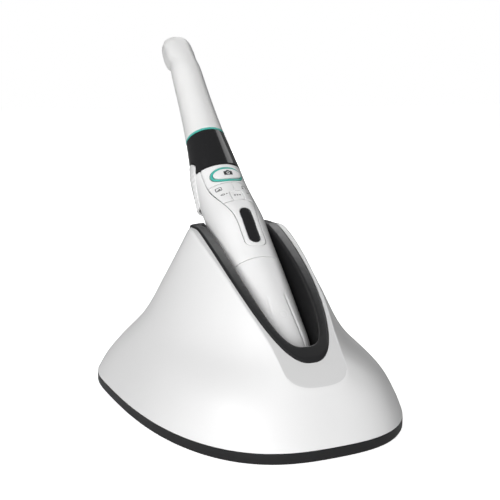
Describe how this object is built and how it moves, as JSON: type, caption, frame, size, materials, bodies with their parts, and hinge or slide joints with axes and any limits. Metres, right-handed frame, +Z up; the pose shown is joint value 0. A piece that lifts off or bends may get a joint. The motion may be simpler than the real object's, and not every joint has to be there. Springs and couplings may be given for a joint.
{
  "type": "dental camera handpiece with charging cradle",
  "caption": "Cordless pen-shaped dental camera handpiece with front keys, leaning in a fin-shaped desktop charging cradle.",
  "frame": {"origin": "centre of the cradle's underside, on the surface that it stands on", "axes": "+Z up; -Y is the front, towards the user, where the slot's lower end is; the handpiece leans back towards +Y"},
  "size_m": [0.1232, 0.184, 0.1723],
  "materials": {
    "white_gloss": "smooth glossy moulded white",
    "white_satin": "fine satin moulded white",
    "teal_trim": "glossy teal accent",
    "black_gloss": "polished black",
    "dark_grey": "semi-matte charcoal",
    "rim_black": "fine-textured black",
    "black_rubber": "matte rubber",
    "circuit_board": "solder-masked laminate",
    "moulded_insulator": "matte moulded black",
    "structural_tube": "drawn tube",
    "clear_pane": "clear pane",
    "steel": "plated steel",
    "gold_contact": "gold plated",
    "cell_sleeve": "shrink sleeve"
  },
  "bodies": {
    "cradle": {"cradle_shell": "white_gloss", "liner_cup": "dark_grey", "base_plate": "rim_black", "rubber_pad": "black_rubber", "ballast_weight": "steel", "charging_board": "circuit_board", "power_socket": "steel", "base_screw_1": "steel", "base_screw_2": "steel", "base_screw_3": "steel", "base_screw_4": "steel", "contact_block": "moulded_insulator", "pin_spring_left": "steel", "pin_spring_right": "steel"},
    "handpiece": {"lower_cap": "white_gloss", "cap_seal": "black_rubber", "body_shell": "white_gloss", "fascia_panel": "white_gloss", "button_ring": "teal_trim", "display_window": "black_gloss", "main_board": "circuit_board", "radio_module": "steel", "capture_switch": "moulded_insulator", "left_switch": "moulded_insulator", "right_switch": "moulded_insulator", "mode_switch": "moulded_insulator", "battery_cell": "cell_sleeve", "contact_pad_left": "gold_contact", "contact_pad_right": "gold_contact", "lever_pin": "steel", "lever_spring": "steel", "neck_core": "structural_tube", "black_band": "black_gloss", "teal_ring": "teal_trim", "neck_cover": "white_satin", "head_window": "clear_pane", "lens_barrel": "black_gloss", "led_board": "circuit_board", "sensor_board": "circuit_board", "flex_cable": "gold_contact"},
    "capture_button": {"capture_button": "white_gloss"},
    "left_key": {"left_key": "white_gloss"},
    "right_key": {"right_key": "white_gloss"},
    "mode_key": {"mode_key": "white_gloss"},
    "rear_lever": {"rear_lever": "white_gloss"},
    "charge_pin_left": {"charge_pin_left": "gold_contact"},
    "charge_pin_right": {"charge_pin_right": "gold_contact"}
  },
  "joints": [
    {"name": "handpiece_lift", "type": "slide", "parent": "cradle", "child": "handpiece", "axis": [0, 0.712, 0.7022], "range_m": [0, 0.11]},
    {"name": "capture_button_press", "type": "slide", "parent": "handpiece", "child": "capture_button", "axis": [0, 0.7022, -0.712], "range_m": [0, 0.0005], "stiffness_N_per_m": 400},
    {"name": "left_key_press", "type": "slide", "parent": "handpiece", "child": "left_key", "axis": [0, 0.7022, -0.712], "range_m": [0, 0.00035], "stiffness_N_per_m": 400},
    {"name": "right_key_press", "type": "slide", "parent": "handpiece", "child": "right_key", "axis": [0, 0.7022, -0.712], "range_m": [0, 0.00035], "stiffness_N_per_m": 400},
    {"name": "mode_key_press", "type": "slide", "parent": "handpiece", "child": "mode_key", "axis": [0, 0.7022, -0.712], "range_m": [0, 0.00035], "stiffness_N_per_m": 400},
    {"name": "rear_lever_press", "type": "hinge", "parent": "handpiece", "child": "rear_lever", "pos_m": [0, 0.03692, 0.09122], "axis": [-1, 0, 0], "range_deg": [0, 2], "stiffness_Nm_per_rad": 0.05, "deforming": ["lever_spring"]},
    {"name": "charge_pin_left_press", "type": "slide", "parent": "cradle", "child": "charge_pin_left", "axis": [0, -0.712, -0.7022], "range_m": [0, 0.001], "stiffness_N_per_m": 150, "deforming": ["pin_spring_left"]},
    {"name": "charge_pin_right_press", "type": "slide", "parent": "cradle", "child": "charge_pin_right", "axis": [0, -0.712, -0.7022], "range_m": [0, 0.001], "deforming": ["pin_spring_right"]}
  ],
  "couplings": [
    {"joint": "charge_pin_right_press", "follows": "charge_pin_left_press", "ratio": 1}
  ]
}
